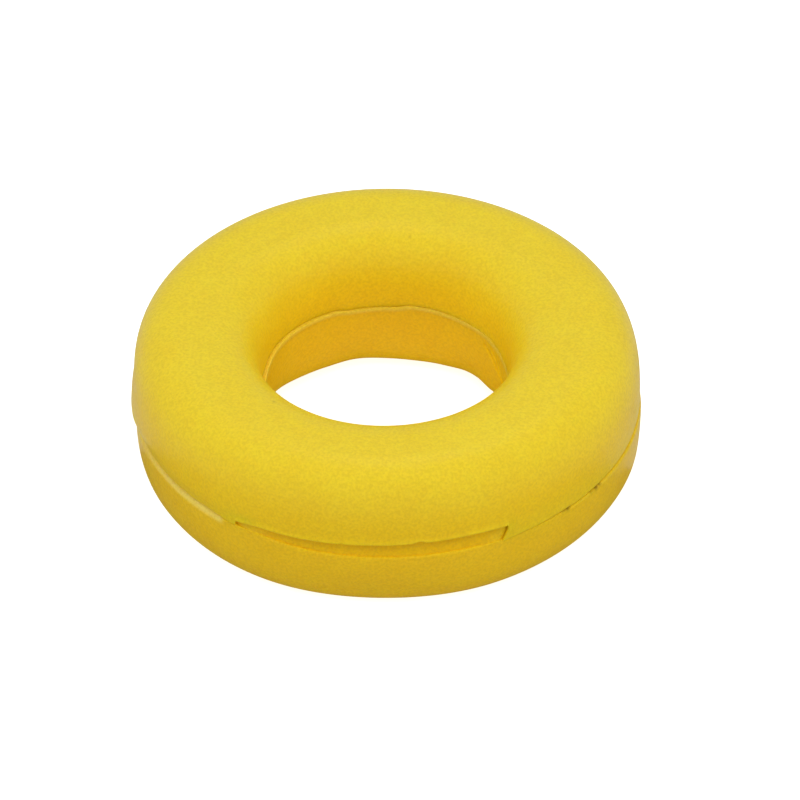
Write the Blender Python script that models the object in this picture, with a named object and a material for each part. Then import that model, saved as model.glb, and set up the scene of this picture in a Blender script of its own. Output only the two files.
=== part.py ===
"""Small thick juggling ring: two hollow moulded shells, lapped and pressed together.

The ring stands on its flat land with +Z along its axis. The slot in its side is centred on -Y.
The upper shell's skirt laps over the lower shell's spigot round the outside. Round the bore it is the
other way: the lower shell's lip covers the upper shell's tongue. Six posts go into six sockets.
"""
from math import asin, cos, pi, radians, sin, tau

import bmesh
import bpy
from mathutils import Matrix, Vector

# The ring, in metres.
OUTER_RADIUS = 0.0360
BORE_RADIUS = 0.0174
RING_HEIGHT = 0.0236
CROWN_SHIFT = 0.0005     # the section is highest this far outside its middle
UPPER_SQUARENESS = 3.0   # superellipse exponents: 2 is an ellipse, more is squarer
LOWER_SQUARENESS = 3.6
BORE_SQUARENESS = 3.1
LAND_CUT = 0.00006       # cut off the top and the bottom for the two flat lands
WALL = 0.0026

# The joint between the shells. Heights count from the ring's middle plane.
CLEARANCE = 0.0003       # gap between faces that touch
SEAM_DROP = 0.0018       # the outside seam lies this far below the middle
SKIRT_THICKNESS = 0.0011
SPIGOT_RISE = 0.0013
BORE_SEAM_RISE = 0.0012  # the seam in the bore lies this far above the middle
BORE_STEP = 0.0004       # the upper shell's bore is this much larger in radius
TONGUE_THICKNESS = 0.0009
TONGUE_DROP = 0.0012
RIM_FILLET = 0.0003

# The slot in front, where the skirt is missing.
SLOT_TOP_RISE = 0.0005
SLOT_SPAN = radians(64.0)

# The posts on the lower shell and their sockets in the upper one.
POST_COUNT = 6
POST_RADIUS = 0.0018
POST_ENGAGEMENT = 0.0045
POST_TIP_GAP = 0.0005
SOCKET_WALL = 0.0012

# How finely the round shapes are divided.
TURN_STEPS = 64
SKIN_STEPS = 10          # along a quarter of the section's outline
HOLLOW_STEPS = 5         # along a quarter of the hollow's outline
FILLET_STEPS = 2
POST_SIDES = 20
SLOT_STEPS = 16

FRONT = -pi / 2          # the direction of -Y

MIDDLE = RING_HEIGHT / 2
CROWN_RADIUS = (OUTER_RADIUS + BORE_RADIUS) / 2 + CROWN_SHIFT
SOCKET_MOUTH = MIDDLE + SPIGOT_RISE + CLEARANCE
POST_TOP = SOCKET_MOUTH + POST_ENGAGEMENT
SOCKET_RADIUS = POST_RADIUS + CLEARANCE
SPIGOT_RADIUS = OUTER_RADIUS - SKIRT_THICKNESS - CLEARANCE
TONGUE_RADIUS = BORE_RADIUS + WALL - TONGUE_THICKNESS


def clear_scene():
    for obj in list(bpy.data.objects):
        bpy.data.objects.remove(obj, do_unlink=True)


def plastic(name, colour, roughness):
    material = bpy.data.materials.new(name)
    material.use_nodes = True
    shader = material.node_tree.nodes["Principled BSDF"]
    shader.inputs["Base Color"].default_value = (*colour, 1.0)
    shader.inputs["Roughness"].default_value = roughness
    shader.inputs["Metallic"].default_value = 0.0
    return material


def quarter(edge_radius, height, squareness, steps, last_angle):
    """A superellipse quarter as (radius, height) pairs, from the middle plane towards the crown.

    height is negative on the lower shell. At a last_angle of pi / 2 the curve ends at the crown.
    """
    reach = edge_radius - CROWN_RADIUS
    power = 2 / squareness
    points = []
    for step in range(steps + 1):
        angle = last_angle * step / steps
        out = max(cos(angle), 0.0) ** power
        points.append((CROWN_RADIUS + reach * out, height * sin(angle) ** power))
    return points


def skin(edge_radius, side, squareness):
    """The ring's own surface: the curve up to the flat land, then the land as far as the crown."""
    full_height = MIDDLE + LAND_CUT
    land_angle = asin((MIDDLE / full_height) ** (squareness / 2))
    curve = quarter(edge_radius, side * full_height, squareness, SKIN_STEPS, land_angle)
    return curve + [(CROWN_RADIUS, side * MIDDLE)]


def hollow(edge_radius, side, squareness):
    """The inside of a shell, one wall within the skin."""
    return quarter(edge_radius, side * (MIDDLE - WALL), squareness, HOLLOW_STEPS, pi / 2)


def beyond(points, level):
    """The points of an outline that lie further from the middle plane than level does."""
    return [point for point in points if abs(point[1]) > abs(level) and point[1] * level > 0]


def fillet(centre, start_angle, end_angle):
    """A small round edge about its centre, in the (radius, height) plane."""
    points = []
    for step in range(FILLET_STEPS + 1):
        angle = start_angle + (end_angle - start_angle) * step / FILLET_STEPS
        points.append((centre[0] + RIM_FILLET * cos(angle), centre[1] + RIM_FILLET * sin(angle)))
    return points


def upper_outline():
    """The upper shell's section, clockwise from the crown."""
    skirt_end = -SEAM_DROP + CLEARANCE
    shoulder = SPIGOT_RISE + CLEARANCE
    bore_edge = BORE_SEAM_RISE + CLEARANCE
    bore_radius = BORE_RADIUS + BORE_STEP
    outer = skin(OUTER_RADIUS, 1, UPPER_SQUARENESS)
    outline = outer[::-1]
    outline += fillet((OUTER_RADIUS - RIM_FILLET, skirt_end + RIM_FILLET), 0, -pi / 2)
    outline.append((OUTER_RADIUS - SKIRT_THICKNESS, skirt_end))
    outline.append((OUTER_RADIUS - SKIRT_THICKNESS, shoulder))
    outline.append((OUTER_RADIUS - WALL, shoulder))
    outline += beyond(hollow(OUTER_RADIUS - WALL, 1, UPPER_SQUARENESS), shoulder)
    outline += beyond(hollow(BORE_RADIUS + WALL, 1, BORE_SQUARENESS), shoulder)[-2::-1]
    outline.append((BORE_RADIUS + WALL, -TONGUE_DROP))
    outline.append((TONGUE_RADIUS, -TONGUE_DROP))
    outline.append((TONGUE_RADIUS, bore_edge))
    outline += fillet((bore_radius + RIM_FILLET, bore_edge + RIM_FILLET), -pi / 2, -pi)
    outline += beyond(skin(bore_radius, 1, BORE_SQUARENESS), bore_edge + RIM_FILLET)[:-1]
    return outline


def lower_outline():
    """The lower shell's section, clockwise from the outer rim."""
    hollow_top = -TONGUE_DROP - CLEARANCE
    lip_radius = TONGUE_RADIUS - CLEARANCE
    outline = [(SPIGOT_RADIUS, -SEAM_DROP)]
    outline += fillet((OUTER_RADIUS - RIM_FILLET, -SEAM_DROP - RIM_FILLET), pi / 2, 0)
    outline += beyond(skin(OUTER_RADIUS, -1, LOWER_SQUARENESS), -SEAM_DROP - RIM_FILLET)
    outline += skin(BORE_RADIUS, -1, BORE_SQUARENESS)[-2::-1]
    outline += fillet((BORE_RADIUS + RIM_FILLET, BORE_SEAM_RISE - RIM_FILLET), pi, pi / 2)
    outline.append((lip_radius, BORE_SEAM_RISE))
    outline.append((lip_radius, hollow_top))
    outline.append((BORE_RADIUS + WALL, hollow_top))
    outline += beyond(hollow(BORE_RADIUS + WALL, -1, BORE_SQUARENESS), hollow_top)
    outline += hollow(OUTER_RADIUS - WALL, -1, LOWER_SQUARENESS)[-2::-1]
    outline.append((OUTER_RADIUS - WALL, SPIGOT_RISE))
    outline.append((SPIGOT_RADIUS, SPIGOT_RISE))
    return outline


def turned(name, outline, material):
    """A ring whose section is the outline, turned about the Z axis by a Screw modifier."""
    mesh = bpy.data.meshes.new(name)
    points = [(radius, 0.0, MIDDLE + height) for radius, height in outline]
    edges = [(i, (i + 1) % len(points)) for i in range(len(points))]
    mesh.from_pydata(points, edges, [])
    obj = bpy.data.objects.new(name, mesh)
    obj.data.materials.append(material)
    bpy.context.collection.objects.link(obj)
    turn = obj.modifiers.new("turn", "SCREW")
    turn.axis = "Z"
    turn.angle = tau
    turn.steps = TURN_STEPS
    turn.render_steps = TURN_STEPS
    turn.use_merge_vertices = True
    turn.merge_threshold = 0.00001
    turn.use_smooth_shade = True
    return obj


def guide(name, bm):
    """A helper shape for a Boolean, left out of the finished ring."""
    bmesh.ops.recalc_face_normals(bm, faces=bm.faces[:])
    mesh = bpy.data.meshes.new(name)
    bm.to_mesh(mesh)
    bm.free()
    obj = bpy.data.objects.new(name, mesh)
    bpy.context.collection.objects.link(obj)
    obj.hide_render = True
    obj.display_type = "WIRE"
    return obj


def columns(name, radius, bottom, top):
    """One upright cylinder at each post's place."""
    bm = bmesh.new()
    for index in range(POST_COUNT):
        angle = FRONT + tau * index / POST_COUNT
        place = Vector((CROWN_RADIUS * cos(angle), CROWN_RADIUS * sin(angle), (bottom + top) / 2))
        bmesh.ops.create_cone(
            bm,
            cap_ends=True,
            segments=POST_SIDES,
            radius1=radius,
            radius2=radius,
            depth=top - bottom,
            matrix=Matrix.Translation(place),
        )
    return guide(name, bm)


def slot_shape(name):
    """The stretch of skirt that is missing: a block swept round the slot's angle."""
    inside = OUTER_RADIUS - SKIRT_THICKNESS - CLEARANCE / 2
    outside = OUTER_RADIUS + WALL
    bottom = MIDDLE - SEAM_DROP - WALL
    top = MIDDLE + SLOT_TOP_RISE
    bm = bmesh.new()
    corners = [(inside, bottom), (outside, bottom), (outside, top), (inside, top)]
    start = Matrix.Rotation(FRONT - SLOT_SPAN / 2, 3, "Z")
    verts = [bm.verts.new(start @ Vector((radius, 0.0, height))) for radius, height in corners]
    face = bm.faces.new(verts)
    bmesh.ops.spin(
        bm,
        geom=[face, *face.edges, *face.verts],
        cent=(0.0, 0.0, 0.0),
        axis=(0.0, 0.0, 1.0),
        angle=SLOT_SPAN,
        steps=SLOT_STEPS,
    )
    return guide(name, bm)


def combine(obj, operation, other):
    change = obj.modifiers.new(other.name, "BOOLEAN")
    change.operation = operation
    change.solver = "EXACT"
    change.object = other


def upper_shell(material):
    shell = turned("upper_shell", upper_outline(), material)
    boss_top = RING_HEIGHT - WALL / 2
    combine(shell, "DIFFERENCE", slot_shape("slot"))
    combine(shell, "UNION", columns("bosses", SOCKET_RADIUS + SOCKET_WALL, SOCKET_MOUTH, boss_top))
    combine(shell, "DIFFERENCE", columns("sockets", SOCKET_RADIUS, MIDDLE, POST_TOP + POST_TIP_GAP))


def lower_shell(material):
    shell = turned("lower_shell", lower_outline(), material)
    combine(shell, "UNION", columns("posts", POST_RADIUS, WALL / 2, POST_TOP))


clear_scene()
upper_shell(plastic("upper_plastic", (0.80, 0.56, 0.02), 0.5))
lower_shell(plastic("lower_plastic", (0.72, 0.46, 0.02), 0.5))
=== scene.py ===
"""The looks of the small thick juggling ring: two yellow shells pressed together on a stepped seam.

Each shell is one closed mesh, made as a turned section whose seam, slot, ledge and nicks change with the
angle round the ring. Angles count from the front (-Y), positive towards +X. Lengths are in metres, and
heights in the moulding's own shape count from the ring's middle plane.
"""

from math import cos, pi, radians, sin, tau

import bpy
import numpy as np
from mathutils import Matrix, Vector


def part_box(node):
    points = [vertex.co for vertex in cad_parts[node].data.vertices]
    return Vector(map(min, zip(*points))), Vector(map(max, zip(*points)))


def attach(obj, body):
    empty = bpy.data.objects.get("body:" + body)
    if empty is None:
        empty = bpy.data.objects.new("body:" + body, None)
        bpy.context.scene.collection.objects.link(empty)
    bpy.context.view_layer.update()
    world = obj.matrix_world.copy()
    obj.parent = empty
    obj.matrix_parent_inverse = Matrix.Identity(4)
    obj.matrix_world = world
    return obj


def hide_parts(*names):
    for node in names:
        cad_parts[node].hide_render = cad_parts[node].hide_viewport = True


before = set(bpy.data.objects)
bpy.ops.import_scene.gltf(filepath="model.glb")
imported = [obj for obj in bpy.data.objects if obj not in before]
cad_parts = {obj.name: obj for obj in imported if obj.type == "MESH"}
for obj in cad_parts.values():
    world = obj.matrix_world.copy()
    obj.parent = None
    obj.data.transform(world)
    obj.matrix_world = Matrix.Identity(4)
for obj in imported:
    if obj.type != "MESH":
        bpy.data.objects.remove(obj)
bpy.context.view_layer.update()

MM = 0.001

# ---------------------------------------------------------------- sizes read from the frame


def cad_points(node):
    """The radius and height of every vertex of a CAD node."""
    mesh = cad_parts[node].data
    points = np.empty(len(mesh.vertices) * 3, np.float32)
    mesh.vertices.foreach_get("co", points)
    points = points.reshape(-1, 3).astype(float)
    return np.hypot(points[:, 0], points[:, 1]), points[:, 2]


upper_radii = cad_points("upper_shell")[0]
lower_radii, lower_heights = cad_points("lower_shell")

RIM_BAND = 0.4 * MM      # the lower shell's rim is the highest thing within this of the outside

OUTER = upper_radii.max()
BORE = lower_radii.min()
UPPER_BORE = BORE + (upper_radii.min() - BORE) / 3   # pressed together, the step in the bore is small
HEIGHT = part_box("upper_shell")[1].z
MIDDLE = HEIGHT / 2
RIM = lower_heights[lower_radii > OUTER - RIM_BAND].max() - MIDDLE

# ---------------------------------------------------------------- the moulding's own shape

CROWN_SHIFT = 0.5 * MM   # the section is highest this far outside its middle
CROWN = (OUTER + BORE) / 2 + CROWN_SHIFT
UPPER_SQUARENESS = 3.0
LOWER_SQUARENESS = 3.6
BORE_SQUARENESS = 3.1
LAND_CUT = 0.06 * MM     # cut off the top and the bottom for the two flat lands
WALL = 2.6 * MM
SKIRT_THICKNESS = 1.1 * MM
SLOT_DEPTH = 0.8 * MM    # of the top of the slot's wall, behind the ring's outside
TONGUE_THICKNESS = 0.9 * MM
SPIGOT_RISE = 1.3 * MM
TONGUE_DROP = 1.2 * MM
GAP = 0.12 * MM          # between hidden faces of the lap joints
SEAM_GAP = 0.04 * MM     # between the edges that show: the shells are pressed together
EDGE_FILLET = 0.2 * MM
BORE_FILLET = 0.04 * MM
LIP_WIDTH = 0.06 * MM    # rounding of the lip at the seam in the bore
LIP_HEIGHT = 0.08 * MM
SLOT_CORNER = 0.2 * MM   # hollow rounding where the spigot meets the rim
SLOT_LEAN_BACK = 0.3 * MM   # the slot's wall stands this much further out at its foot
RIM_FLAT = 0.1 * MM      # least flat between the foot of the slot's wall and the rim's rounding
CORNER_FLAT = 0.02 * MM  # least flat between the two roundings

SLOT_START = radians(-31.8)
SLOT_END = radians(30.2)
SLOT_END_WIDTH = radians(0.3)
SLOT_LEAN = radians(1.9)  # the slot's right end leans this much over the skirt's height

# How finely the round shapes are divided.
COLUMNS = 640            # steps round the ring, before the extra ones at the ends of the slot
END_COLUMNS = 5          # across each end of the slot
CURVE_STEPS = 90         # along a quarter of the section, before it is resampled
UPPER_WALL_ROWS = 70
UPPER_BORE_ROWS = 46
LOWER_WALL_ROWS = 60
LOWER_BORE_ROWS = 76
HOLLOW_ROWS = 12
SPIGOT_ROWS = 8
FLAT_ROWS = 3            # along each hidden flat
SKIRT_ROWS = 4           # along each face of the skirt
ARC_ROWS = 8
CORNER_ROWS = 5
LEAST_STEP = radians(0.02)   # columns closer than this are left out
SHARP_EDGE = radians(40)


def smooth_step(value, start, end):
    """0 up to start, 1 from end on, and a smooth rise between them."""
    share = np.clip((value - start) / (end - start), 0.0, 1.0)
    return share * share * (3 - 2 * share)


def away_from(angle, centre):
    """Degrees from centre, between -180 and 180."""
    return (np.degrees(angle) - centre + 180) % 360 - 180


def hump(angle, centre, half_width):
    """1 at the centre, falling smoothly to 0 at half_width on either side. Angles in degrees."""
    return 0.5 + 0.5 * np.cos(pi * np.clip(away_from(angle, centre) / half_width, -1, 1))


def window(angle, start, end, soft):
    """1 between start and end, fading to 0 over soft outside them. Angles in degrees."""
    centre = (start + end) / 2
    half = (end - start) / 2
    return 1 - smooth_step(abs(away_from(angle, centre)), half, half + soft)


def bell(value, centre, width):
    """1 at the centre, falling to 0.37 at width on either side and on towards 0."""
    return np.exp(-(((value - centre) / width) ** 2))


def ripple(angle, seed, size):
    """A gentle unevenness round the ring, as a few waves of fixed phase."""
    waves = ((3, 1.0), (5, 0.8), (9, 0.5), (17, 0.35), (31, 0.2))
    total = 0.0
    for index, (count, share) in enumerate(waves):
        total += share * np.sin(count * angle + seed * (index + 1))
    return size * total


def in_slot(angle):
    """1 inside the slot, 0 outside."""
    return smooth_step(angle, SLOT_START - SLOT_END_WIDTH, SLOT_START) * (
        1 - smooth_step(angle, SLOT_END, SLOT_END + SLOT_END_WIDTH)
    )


# In the functions below, the places and widths given to window and hump are degrees round the ring.


def seam_height(angle):
    """Height of the outside seam from the middle plane: it wanders, and rises beside the slot."""
    height = RIM + ripple(angle, 1.7, 0.03 * MM)
    height += 1.15 * MM * window(angle, -66, -33, 14)
    height += 0.75 * MM * window(angle, 38, 84, 16)
    return height


def slot_top(angle):
    """Height of the slot's upper edge, which climbs to the right and has two nicks."""
    degrees = np.degrees(angle)
    top = 0.1 * MM + 0.75 * MM * smooth_step(degrees, -36, -24) + 0.5 * MM * smooth_step(degrees, -24, 24)
    top += ripple(angle, 0.6, 0.03 * MM) - 0.25 * MM * smooth_step(degrees, 24, 33)
    top += 0.15 * MM * hump(angle, -6.0, 0.9)
    top += 0.36 * MM * hump(angle, 11.5, 1.8)
    return top


def skirt_end(angle):
    """Height of the upper shell's outer edge."""
    inside = in_slot(angle)
    return (seam_height(angle) + SEAM_GAP) * (1 - inside) + slot_top(angle) * inside


def rim_height(angle):
    """Height of the lower shell's outer rim, which dips in the slot and less at its left end."""
    inside = window(angle, -29, 29, 4)
    dip = 0.62 * MM + 0.57 * MM * smooth_step(np.degrees(angle), -29, -11)
    return seam_height(angle) * (1 - inside) - dip * inside


def skirt_thickness(angle):
    """Thickness of the skirt: thin where the slot is, and thinnest at the slot's ends."""
    front = window(angle, -28, 29, 5)
    even = SKIRT_THICKNESS * (1 - front) + (SLOT_DEPTH - GAP) * front
    ends = 0.62 * hump(angle, -31.5, 9) + 0.4 * hump(angle, 30, 6)
    return even + (0.3 * window(angle, -74, -46, 8) - ends) * MM


def rim_round(angle):
    """Width and height of the rounding of the lower rim, which is broad on the left of the slot."""
    left = window(angle, -70, -39, 5)
    front = window(angle, -26, 29, 4)
    right = window(angle, 48, 120, 14)
    width = 0.7 * left + 0.15 * front + 0.15 * right
    height = 1.2 * left + 0.3 * front + 0.25 * right
    return EDGE_FILLET + width * MM, EDGE_FILLET + height * MM


def skirt_round(angle):
    """Width and height of the rounding of the skirt's edge."""
    left = window(angle, -100, -41, 10)
    right = window(angle, 48, 120, 14)
    width = 0.3 * left + 0.2 * right
    height = 0.5 * left + 0.3 * right
    return EDGE_FILLET + width * MM, EDGE_FILLET + height * MM


def base_squareness(angle):
    """Superellipse exponent of the lower shell's bore: its bottom edge isn't the same all round."""
    left = -0.35 * hump(angle, -120, 24) - 0.25 * hump(angle, -164, 14)
    right = 0.14 * hump(angle, 173, 14) - 0.25 * hump(angle, 149, 12)
    right += 0.5 * window(angle, 100, 132, 10)
    return BORE_SQUARENESS + left + right


def top_squareness(angle):
    """Superellipse exponent of the upper shell's bore: its top edge is rounder in front."""
    return BORE_SQUARENESS - 0.32 * hump(angle, 0, 80)


def bore_seam(angle):
    """Height of the seam in the bore."""
    height = 1.7 * MM + ripple(angle, 2.9, 0.04 * MM)
    height -= 1.0 * MM * hump(angle, -88, 26)
    height -= 0.5 * MM * window(angle, 180, 200, 9)
    height -= 1.2 * MM * hump(angle, 104, 26)
    return height


# ---------------------------------------------------------------- where the walls aren't quite true


def askew(angle):
    """How far the lower shell stands outside the upper one: the two were moulded a little out of true."""
    left = -0.5 * hump(angle, -96, 36) - 0.15 * hump(angle, -60, 30)
    return (left + 0.35 * hump(angle, 82, 50) - 0.15) * MM


def upper_relief(angle, height):
    """Added to the radius of the upper shell's outer wall."""
    end = skirt_end(angle)
    lip = 0.16 * in_slot(angle) * bell(height, end + 0.25 * MM, 0.35 * MM)
    flare = 0.1 * hump(angle, -88, 16) * bell(height, end, 1.5 * MM)
    tuck = 0.35 * window(angle, -72, -42, 9) * bell(height, end, 1.3 * MM)
    dent = 0.38 * hump(angle, -98, 34) * bell(height, 4.0 * MM, 2.3 * MM)
    return (lip + flare - tuck - dent) * MM


def lower_relief(angle, height):
    """Added to the radius of the lower shell's outer wall."""
    flat = 0.5 * hump(angle, 2, 30) * smooth_step(-height, 3 * MM, 9 * MM)
    corner = 0.15 * hump(angle, 80, 24) * bell(height, -7.6 * MM, 1.5 * MM)
    return askew(angle) + (corner - flat) * MM


def crease(angle, height, start, end, width):
    """1 on the straight line between two (degrees, mm) places on the bore's wall, falling to 0 beside it."""
    place = np.stack([np.broadcast_to(angle * BORE, height.shape), height], -1)
    first = np.array([radians(start[0]) * BORE, start[1] * MM])
    along = np.array([radians(end[0]) * BORE, end[1] * MM]) - first
    share = np.clip((place - first) @ along / (along @ along), 0, 1)
    distance = np.hypot(*(place - first - share[:, None] * along).T)
    return bell(distance, 0, width)


def creases(angle, height):
    """The two creases on the right of the bore, which run together at their lower ends."""
    outer = crease(angle, height, (130.5, -0.3), (115, -3.8), 0.22 * MM)
    return outer + 0.8 * crease(angle, height, (125.6, 0.2), (114, -3.3), 0.2 * MM)


def bore_relief(angle, height):
    """Added to the radius of the lower shell's bore: a bead under the seam, and two creases on the right."""
    bead = bell(height, bore_seam(angle) - 0.3 * MM, 0.35 * MM)
    shift = 0.25 * sin(angle)
    return (shift + 0.35 * creases(angle, height) - 0.2 * bead) * MM


# ---------------------------------------------------------------- sections


def resampled(points, count):
    """The same line with count points, evenly spaced along it."""
    points = np.asarray(points)
    length = np.concatenate([[0], np.cumsum(np.hypot(*np.diff(points, axis=0).T))])
    places = np.linspace(0, length[-1], count)
    return np.stack([np.interp(places, length, points[:, 0]), np.interp(places, length, points[:, 1])], -1)


def quarter(edge_radius, side, squareness, inset=0.0):
    """A superellipse quarter from the crown to the middle plane, cut flat at the land."""
    angles = np.linspace(pi / 2, 0, CURVE_STEPS)
    power = 2 / squareness
    reach = edge_radius - CROWN
    half_height = MIDDLE + LAND_CUT - inset
    radius = CROWN + reach * np.clip(np.cos(angles), 0, 1) ** power
    height = np.minimum(half_height * np.sin(angles) ** power, MIDDLE - inset)
    return np.stack([radius, side * height], -1)


def cut_at(points, level):
    """The part of a crown-to-middle line that lies beyond level, ending exactly on it."""
    side = np.sign(points[0, 1])
    if level * side <= 0:
        return np.vstack([points, [points[-1, 0], level]])
    heights = np.abs(points[:, 1])
    kept = points[heights > abs(level)]
    radius = np.interp(abs(level), heights[::-1], points[::-1, 0])
    return np.vstack([kept, [radius, level]])


def relieved(points, angle, relief):
    """The line with its radii changed, fully at the wall and not at all at the crown."""
    share = np.abs(points[:, 0] - CROWN) / abs(points[-1, 0] - CROWN)
    return np.stack([points[:, 0] + share * relief(angle, points[:, 1]), points[:, 1]], -1)


def arc(centre, width, height, start, end, count=ARC_ROWS):
    angles = np.radians(np.linspace(start, end, count))
    return np.stack([centre[0] + width * np.cos(angles), centre[1] + height * np.sin(angles)], -1)


def straight(start, end, count):
    return np.linspace(start, end, count)


def upper_section(angle):
    """Clockwise from the crown: outer skin, skirt, shoulder, hollow, tongue, bore skin."""
    end = skirt_end(angle)
    width, height = skirt_round(angle)
    shoulder = SPIGOT_RISE + GAP
    skirt_inside = OUTER - skirt_thickness(angle)
    seam = bore_seam(angle) + SEAM_GAP / 2
    tongue_inside = BORE + WALL
    tongue_outside = tongue_inside - TONGUE_THICKNESS
    outer = cut_at(quarter(OUTER, 1, UPPER_SQUARENESS), end + height)
    outer = relieved(resampled(outer, UPPER_WALL_ROWS), angle, upper_relief)
    hollow_out = cut_at(quarter(OUTER - WALL, 1, UPPER_SQUARENESS, WALL), shoulder)
    hollow_in = cut_at(quarter(tongue_inside, 1, BORE_SQUARENESS, WALL), shoulder)
    bore = cut_at(quarter(UPPER_BORE, 1, top_squareness(angle)), seam + BORE_FILLET)
    edge_radius = outer[-1, 0]
    tongue_corner = (tongue_inside, -TONGUE_DROP)
    fillet_centre = (bore[-1, 0] + BORE_FILLET, seam + BORE_FILLET)
    return np.vstack(
        [
            outer,
            arc((edge_radius - width, end + height), width, height, 0, -90)[1:],
            straight((edge_radius - width, end), (skirt_inside, end), SKIRT_ROWS)[1:],
            straight((skirt_inside, end), (skirt_inside, shoulder), SKIRT_ROWS)[1:],
            straight((skirt_inside, shoulder), hollow_out[-1], FLAT_ROWS)[1:],
            resampled(hollow_out[::-1], HOLLOW_ROWS)[1:],
            resampled(hollow_in, HOLLOW_ROWS)[1:],
            straight(hollow_in[-1], tongue_corner, FLAT_ROWS)[1:],
            straight(tongue_corner, (tongue_outside, -TONGUE_DROP), FLAT_ROWS)[1:],
            straight((tongue_outside, -TONGUE_DROP), (tongue_outside, seam), FLAT_ROWS)[1:],
            straight((tongue_outside, seam), (fillet_centre[0], seam), FLAT_ROWS)[1:],
            arc(fillet_centre, BORE_FILLET, BORE_FILLET, -90, -180)[1:],
            resampled(bore[::-1], UPPER_BORE_ROWS)[1:-1],
        ]
    )


def lower_section(angle):
    """Clockwise from the top of the spigot: rim, outer skin, land, bore skin, lip, lap, hollow."""
    rim = rim_height(angle)
    width, height = rim_round(angle)
    lip = bore_seam(angle)
    spigot = OUTER - skirt_thickness(angle) - GAP
    lip_outside = BORE + WALL - TONGUE_THICKNESS - GAP
    lap = -TONGUE_DROP - GAP
    outer = cut_at(quarter(OUTER, -1, LOWER_SQUARENESS), rim - height)
    outer = relieved(resampled(outer, LOWER_WALL_ROWS), angle, lower_relief)[::-1]
    bore = cut_at(quarter(BORE, -1, base_squareness(angle)), lip - LIP_HEIGHT)
    bore = relieved(resampled(bore, LOWER_BORE_ROWS), angle, bore_relief)
    hollow_in = cut_at(quarter(BORE + WALL, -1, BORE_SQUARENESS, WALL), lap)
    hollow_out = cut_at(quarter(OUTER - WALL, -1, LOWER_SQUARENESS, WALL), SPIGOT_RISE)
    edge_radius = outer[0, 0]
    lip_inside = bore[-1, 0] + LIP_WIDTH
    foot = spigot + SLOT_LEAN_BACK * window(angle, -26, 27, 4)
    width = min(width, edge_radius - foot - RIM_FLAT)
    corner = min(SLOT_CORNER, edge_radius - width - foot - CORNER_FLAT)
    return np.vstack(
        [
            straight((spigot, SPIGOT_RISE), (foot, rim + corner), SPIGOT_ROWS),
            arc((foot + corner, rim + corner), corner, corner, 180, 270, CORNER_ROWS)[1:],
            straight((foot + corner, rim), (edge_radius - width, rim), FLAT_ROWS)[1:],
            arc((edge_radius - width, rim - height), width, height, 90, 0)[1:],
            outer[1:],
            bore[1:],
            arc((lip_inside, lip - LIP_HEIGHT), LIP_WIDTH, LIP_HEIGHT, 180, 90)[1:],
            straight((lip_inside, lip), (lip_outside, lip), FLAT_ROWS)[1:],
            straight((lip_outside, lip), (lip_outside, lap), FLAT_ROWS)[1:],
            straight((lip_outside, lap), hollow_in[-1], FLAT_ROWS)[1:],
            resampled(hollow_in[::-1], HOLLOW_ROWS)[1:],
            resampled(hollow_out, HOLLOW_ROWS)[1:],
            straight(hollow_out[-1], (spigot, SPIGOT_RISE), FLAT_ROWS)[1:-1],
        ]
    )


def column_angles():
    """Even steps round the ring, with close ones where the slot begins and ends."""
    even = np.linspace(-pi, pi, COLUMNS, endpoint=False)
    close = [even]
    for end in (SLOT_START - SLOT_END_WIDTH, SLOT_END):
        close.append(np.linspace(end, end + SLOT_END_WIDTH, END_COLUMNS))
    angles = np.unique(np.round(np.concatenate(close), 7))
    return angles[np.diff(angles, append=angles[0] + tau) > LEAST_STEP]


def slot_lean(angle, height):
    """Turns the columns near the slot's right end a little, so that the end leans."""
    return SLOT_LEAN * hump(angle, np.degrees(SLOT_END), 9) * smooth_step(height, -2.2 * MM, 0.9 * MM)


def turned(name, section, material):
    """One closed ring, with its section worked out anew for each column."""
    angles = column_angles()
    sections = np.array([section(angle) for angle in angles])
    columns, rows = sections.shape[:2]
    turned_by = angles[:, None] + slot_lean(angles[:, None], sections[:, :, 1])
    points = np.empty((columns, rows, 3))
    points[:, :, 0] = sections[:, :, 0] * np.sin(turned_by)
    points[:, :, 1] = -sections[:, :, 0] * np.cos(turned_by)
    points[:, :, 2] = sections[:, :, 1] + MIDDLE
    index = np.arange(columns * rows).reshape(columns, rows)
    after = np.roll(index, -1, axis=0)
    faces = np.stack([index, np.roll(index, -1, axis=1), np.roll(after, -1, axis=1), after], -1)
    mesh = bpy.data.meshes.new(name)
    mesh.from_pydata(points.reshape(-1, 3), [], faces.reshape(-1, 4))
    mesh.shade_smooth()
    mesh.set_sharp_from_angle(angle=SHARP_EDGE)
    # Vertex values: painted light, painted shade in the slot, and grime.
    for layer, values in zip(("painted_light", "slot_shade", "grime"), painted_light_and_grime(points.reshape(-1, 3))):
        mesh.attributes.new(layer, "FLOAT", "POINT").data.foreach_set("value", values.astype(np.float32))
    obj = bpy.data.objects.new(name, mesh)
    obj.data.materials.append(material)
    bpy.context.scene.collection.objects.link(obj)
    return obj


# ---------------------------------------------------------------- painted light, painted shade and grime, as values on the vertices

# Specks of grime, most of them caught in the seams. Each one's place is in degrees round the ring, and a
# radius and a height from the middle plane in mm. Then come its size in mm and its strength.
SPOTS = (
    (58.8, 35.9, -1.1, 0.42, 1.0),
    (60.3, 35.9, -1.1, 0.30, 0.9),
    (57.0, 35.9, -1.1, 0.34, 0.6),
    (49.0, 35.9, -1.0, 0.40, 1.0),
    (47.6, 35.9, -1.0, 0.30, 0.6),
    (10.5, 35.9, 1.2, 0.32, 0.7),
    (-6.0, 36.0, 0.9, 0.22, 0.6),
    (-121.5, 18.1, 2.8, 0.45, 0.5),
    (-124.0, 18.1, 3.1, 0.40, 0.4),
    (174.5, 21.5, 11.1, 0.20, 0.5),
    (-39.0, 22.9, 11.5, 0.22, 0.5),
    (-118.0, 17.6, -8.0, 0.22, 0.6),
)


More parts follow.
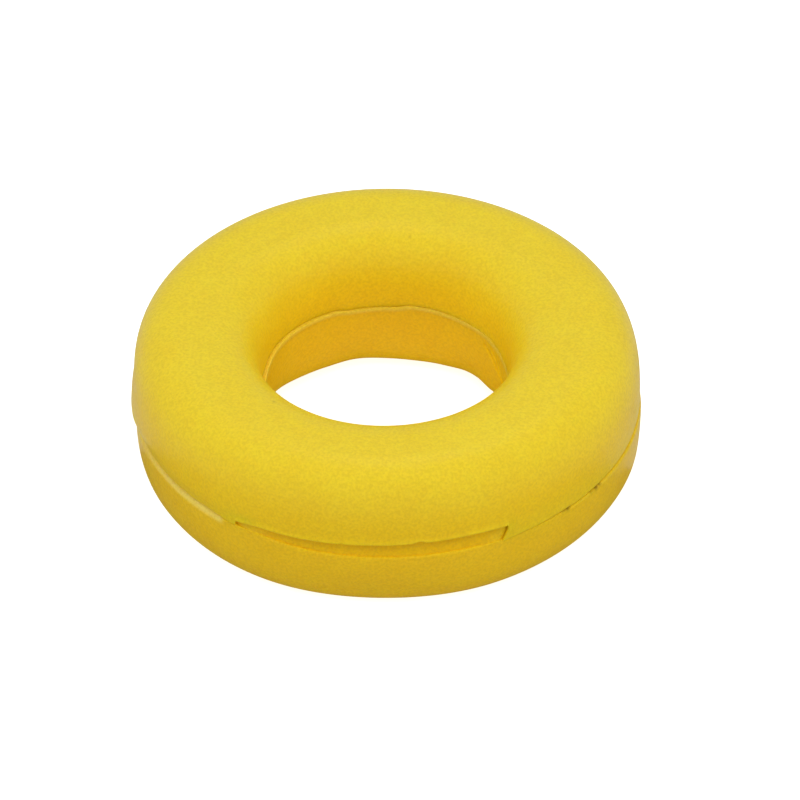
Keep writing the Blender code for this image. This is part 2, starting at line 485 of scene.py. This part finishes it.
def painted_light_and_grime(points):
    """Three values for each vertex: painted light (a lighter top, painted highlights on the left ledge and
    the bore's bead), painted shade deep in the slot, and grime.
    """
    radius = np.hypot(points[:, 0], points[:, 1])
    height = points[:, 2] - MIDDLE
    angle = np.arctan2(points[:, 0], -points[:, 1])
    rim = seam_height(angle)

    # Painted highlight: a paler band along the lower rim's rounding left of the slot, where it faces up into
    # the light.
    ledge = (radius > CROWN) & (height < rim + SEAM_GAP / 2)
    towards_slot = 0.4 + 0.45 * smooth_step(np.degrees(angle), -68, -50)
    near_edge = smooth_step(height, rim - 1.3 * MM, rim - 0.5 * MM)
    ledge_highlight = towards_slot * window(angle, -78, -37, 2) * near_edge
    # Painted highlight: a pale line along the bead under the seam in the bore.
    bore_wall = radius < BORE + 0.6 * MM
    bead_highlight = 0.4 * bell(height, bore_seam(angle) - 0.25 * MM, 0.35 * MM)
    # Painted light: the upper shell is painted lighter towards its top.
    painted_light = smooth_step(height, 2.0 * MM, MIDDLE)
    painted_light += np.where(ledge, ledge_highlight, 0.0) + np.where(bore_wall, bead_highlight, 0.0)

    # Painted shade: deeper orange on faces set back in the slot, where the recess is shaded.
    beside_seam = (radius > CROWN) & (np.abs(height) < 4 * MM)
    depth = smooth_step(OUTER - radius, 0.3 * MM, 0.6 * MM)
    slot_shade = np.where(beside_seam, depth, 0.0) * in_slot(angle)

    grime = np.zeros(len(points))
    for degrees, spot_radius, spot_height, size, strength in SPOTS:
        turn = radians(degrees)
        spot = np.array([spot_radius * sin(turn), -spot_radius * cos(turn), spot_height]) * MM
        spot[2] += MIDDLE
        distance = np.linalg.norm(points - spot, axis=1)
        grime = np.maximum(grime, strength * bell(distance, 0, size * MM))
    return painted_light, slot_shade, grime


# ---------------------------------------------------------------- materials

CLOUD_TINT = (0.985, 0.965, 0.9)
MOTTLE_TINT = (0.88, 0.86, 0.75)
GRIME = (0.28, 0.15, 0.0)
# Painted shade: the deeper orange of the slot's recessed faces.
SLOT_SHADE_COLOUR = (1.0, 0.62, 0.0)
# The lit colours are painted light, for the crown, the left ledge and the bore's bead; the full colours are
# the plain yellow of the walls.
UPPER_LIT = (0.98, 0.75, 0.035)
UPPER_FULL = (1.0, 0.67, 0.01)
LOWER_LIT = (1.0, 0.79, 0.18)
LOWER_FULL = (0.97, 0.63, 0.01)

CLOUD_SCALE = 140.0      # noise scales: about this many features to a metre
MOTTLE_SCALE = 2600.0
GRAIN_SCALE = 2400.0
GLOSS_SCALE = 900.0
NOISE_DETAIL = 3.0
ROUGHNESS = (0.30, 0.40)
GRAIN_STRENGTH = 0.8
GRAIN_DEPTH = 0.05 * MM
SPECULAR_LEVEL = 0.25
SUBSURFACE_WEIGHT = 0.6  # light let into the waxy plastic: its share, then how far each colour goes
SUBSURFACE_RADIUS = (1.0, 0.8, 0.2)
SUBSURFACE_SCALE = 1.5 * MM


def noise(nodes, links, scale):
    place = nodes.new("ShaderNodeTexCoord")
    texture = nodes.new("ShaderNodeTexNoise")
    texture.inputs["Scale"].default_value = scale
    texture.inputs["Detail"].default_value = NOISE_DETAIL
    links.new(place.outputs["Object"], texture.inputs["Vector"])
    return texture.outputs["Fac"]


def spread(nodes, links, value, low, high, start, end):
    """Maps low..high to start..end, clamped."""
    change = nodes.new("ShaderNodeMapRange")
    for name, number in (("From Min", low), ("From Max", high), ("To Min", start), ("To Max", end)):
        change.inputs[name].default_value = number
    links.new(value, change.inputs["Value"])
    return change.outputs["Result"]


def layer_value(nodes, name):
    attribute = nodes.new("ShaderNodeAttribute")
    attribute.attribute_name = name
    return attribute.outputs["Fac"]


def mix(nodes, links, factor, first, second, blend="MIX"):
    """Mixes two colours, each a socket or a plain RGB colour."""
    change = nodes.new("ShaderNodeMix")
    change.data_type = "RGBA"
    change.blend_type = blend
    links.new(factor, change.inputs["Factor"])
    for name, colour in (("A", first), ("B", second)):
        if isinstance(colour, tuple):
            change.inputs[name].default_value = (*colour, 1.0)
        else:
            links.new(colour, change.inputs[name])
    return change.outputs["Result"]


def yellow_plastic(name, lit_colour, full):
    """Waxy translucent plastic: painted lighter on the crown with painted highlights on the left ledge and
    the bore's bead, fuller on the walls, and deepest orange in the slot as painted shade.

    It has a faint cloudiness, a fine mottle, a moulded grain and specks of grime.
    """
    material = bpy.data.materials.new(name)
    material.use_nodes = True
    nodes = material.node_tree.nodes
    links = material.node_tree.links
    shader = nodes["Principled BSDF"]

    # Painted light on the crown, the ledge and the bore's bead, then painted shade in the slot.
    colour = mix(nodes, links, layer_value(nodes, "painted_light"), full, lit_colour)
    colour = mix(nodes, links, layer_value(nodes, "slot_shade"), colour, SLOT_SHADE_COLOUR)
    cloud = spread(nodes, links, noise(nodes, links, CLOUD_SCALE), 0.3, 0.7, 0.0, 1.0)
    colour = mix(nodes, links, cloud, colour, CLOUD_TINT, "MULTIPLY")
    mottle = spread(nodes, links, noise(nodes, links, MOTTLE_SCALE), 0.35, 0.65, 0.0, 1.0)
    colour = mix(nodes, links, mottle, colour, MOTTLE_TINT, "MULTIPLY")
    colour = mix(nodes, links, layer_value(nodes, "grime"), colour, GRIME)
    links.new(colour, shader.inputs["Base Color"])

    rough = spread(nodes, links, noise(nodes, links, GLOSS_SCALE), 0.3, 0.7, *ROUGHNESS)
    links.new(rough, shader.inputs["Roughness"])
    bump = nodes.new("ShaderNodeBump")
    bump.inputs["Strength"].default_value = GRAIN_STRENGTH
    bump.inputs["Distance"].default_value = GRAIN_DEPTH
    links.new(noise(nodes, links, GRAIN_SCALE), bump.inputs["Height"])
    links.new(bump.outputs["Normal"], shader.inputs["Normal"])

    shader.inputs["Specular IOR Level"].default_value = SPECULAR_LEVEL
    shader.inputs["Subsurface Weight"].default_value = SUBSURFACE_WEIGHT
    shader.inputs["Subsurface Radius"].default_value = SUBSURFACE_RADIUS
    shader.inputs["Subsurface Scale"].default_value = SUBSURFACE_SCALE
    return material


# ---------------------------------------------------------------- floor, light and camera

WALL_LIGHT = 0.42        # strength of the white world
FRONT_POWER = 2.6        # watts, of each lamp
OVERHEAD_POWER = 0.3
SIDE_POWER = 1.25
AIM = (0, 0, 0.01)       # where every lamp points

FLOOR_REACH = 3.0
FLOOR_GLOW = 0.85
CARD_GREY = (0.35, 0.35, 0.35)
CARD_GLOW = 0.4
HOLE_GLOW = 0.65

CAMERA_DISTANCE = 1.44
CAMERA_TURN = radians(4.0)
CAMERA_ELEVATION = radians(38.8)
CAMERA_ROLL = radians(-0.36)
CAMERA_SHIFT = (2.0 * MM, -1.42 * MM)   # of its target from the ring's centre, to the right and up
SENSOR_WIDTH = 36.0
FOCAL_LENGTH = 457.6


def card(name, height, reach, colour, glow=0.0, forward=0.0):
    """A level round sheet, its centre that far forward of the ring's axis."""
    sides = 48
    corners = []
    for side in range(sides):
        angle = tau * side / sides
        corners.append((reach * cos(angle), reach * sin(angle) - forward, height))
    mesh = bpy.data.meshes.new(name)
    mesh.from_pydata(corners, [], [range(sides)])
    obj = bpy.data.objects.new(name, mesh)
    material = bpy.data.materials.new(name)
    material.use_nodes = True
    shader = material.node_tree.nodes["Principled BSDF"]
    shader.inputs["Base Color"].default_value = (*colour, 1.0)
    shader.inputs["Roughness"].default_value = 0.9
    shader.inputs["Specular IOR Level"].default_value = 0.0
    shader.inputs["Emission Color"].default_value = (1.0, 1.0, 1.0, 1.0)
    shader.inputs["Emission Strength"].default_value = glow
    obj.data.materials.append(material)
    bpy.context.scene.collection.objects.link(obj)
    return obj


def floor():
    """A pale floor. Under it two glowing cards light the ring, and three more are only reflected in it: two
    dark ones are painted shade on the floor, in the hole and in front.
    """
    seen = card("floor", 0.0, FLOOR_REACH, (0.7, 0.7, 0.7), glow=FLOOR_GLOW)
    seen.visible_diffuse = False
    seen.visible_glossy = False
    seen.visible_shadow = False
    for bounce in (
        card("bounce_card", -0.2 * MM, FLOOR_REACH, CARD_GREY, glow=CARD_GLOW),
        card("hole_bounce", -0.1 * MM, BORE, CARD_GREY, glow=HOLE_GLOW),
    ):
        bounce.visible_camera = False
        bounce.visible_glossy = False
        bounce.visible_shadow = False
    for reflected in (
        # Painted shade: a dark yellow-brown card for the shaded floor inside the hole, seen only in
        # reflections.
        card("hole_shade_card", -0.3 * MM, CROWN, (0.12, 0.07, 0.0)),
        # Painted shadow: a dark card for the ring's shadow on the floor in front, seen only in reflections.
        card("front_shade_card", -0.4 * MM, 70 * MM, (0.12, 0.12, 0.12), forward=60 * MM),
        card("white_card", -0.5 * MM, FLOOR_REACH, (0.3, 0.3, 0.3), glow=0.3),
    ):
        reflected.visible_camera = False
        reflected.visible_diffuse = False
        reflected.visible_shadow = False


def area_light(name, place, size, power):
    """A round soft box, turned towards AIM."""
    data = bpy.data.lights.new(name, "AREA")
    data.shape = "DISK"
    data.size = size
    data.energy = power
    obj = bpy.data.objects.new(name, data)
    obj.location = place
    obj.rotation_euler = (Vector(AIM) - Vector(place)).to_track_quat("-Z", "Y").to_euler()
    bpy.context.scene.collection.objects.link(obj)
    return obj


def studio():
    """White walls all round, and soft boxes: high in front, a weak one overhead, and one on either side."""
    world = bpy.data.worlds.new("studio")
    world.use_nodes = True
    background = world.node_tree.nodes["Background"]
    background.inputs["Color"].default_value = (1.0, 1.0, 1.0, 1.0)
    background.inputs["Strength"].default_value = WALL_LIGHT
    bpy.context.scene.world = world
    front = area_light("front_box", (0.03, -0.42, 0.75), 0.45, FRONT_POWER)
    front.visible_glossy = False
    area_light("overhead", (0.0, 0.35, 0.7), 0.3, OVERHEAD_POWER)
    for name, side in (("left_box", -1), ("right_box", 1)):
        box = area_light(name, (side * 0.8, 0.05, 0.45), 0.6, SIDE_POWER)
        box.visible_glossy = False


def camera():
    """A long lens, as far off as the near-parallel view of the ring needs."""
    sideways = Vector((cos(CAMERA_TURN), sin(CAMERA_TURN), 0))
    level_back = Vector((sin(CAMERA_TURN), -cos(CAMERA_TURN), 0))
    back = level_back * cos(CAMERA_ELEVATION) + Vector((0, 0, sin(CAMERA_ELEVATION)))
    up = back.cross(sideways)
    target = Vector((0, 0, MIDDLE)) + sideways * CAMERA_SHIFT[0] + up * CAMERA_SHIFT[1]
    data = bpy.data.cameras.new("camera")
    data.sensor_width = SENSOR_WIDTH
    data.lens = FOCAL_LENGTH
    data.clip_end = 20.0
    obj = bpy.data.objects.new("camera", data)
    axes = Matrix((sideways, up, back)).transposed() @ Matrix.Rotation(CAMERA_ROLL, 3, "Z")
    obj.matrix_world = Matrix.Translation(target + back * CAMERA_DISTANCE) @ axes.to_4x4()
    bpy.context.scene.collection.objects.link(obj)
    bpy.context.scene.camera = obj


# ---------------------------------------------------------------- the scene

camera()
upper_plastic = yellow_plastic("upper_plastic", UPPER_LIT, UPPER_FULL)
lower_plastic = yellow_plastic("lower_plastic", LOWER_LIT, LOWER_FULL)
upper_moulding = turned("upper_moulding", upper_section, upper_plastic)
lower_moulding = turned("lower_moulding", lower_section, lower_plastic)
for piece, node, slot in (
    (upper_moulding, "upper_shell", "upper_plastic"),
    (lower_moulding, "lower_shell", "lower_plastic"),
):
    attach(piece, "root")
    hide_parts(node)
floor()
studio()
bpy.context.scene.view_settings.view_transform = "Standard"
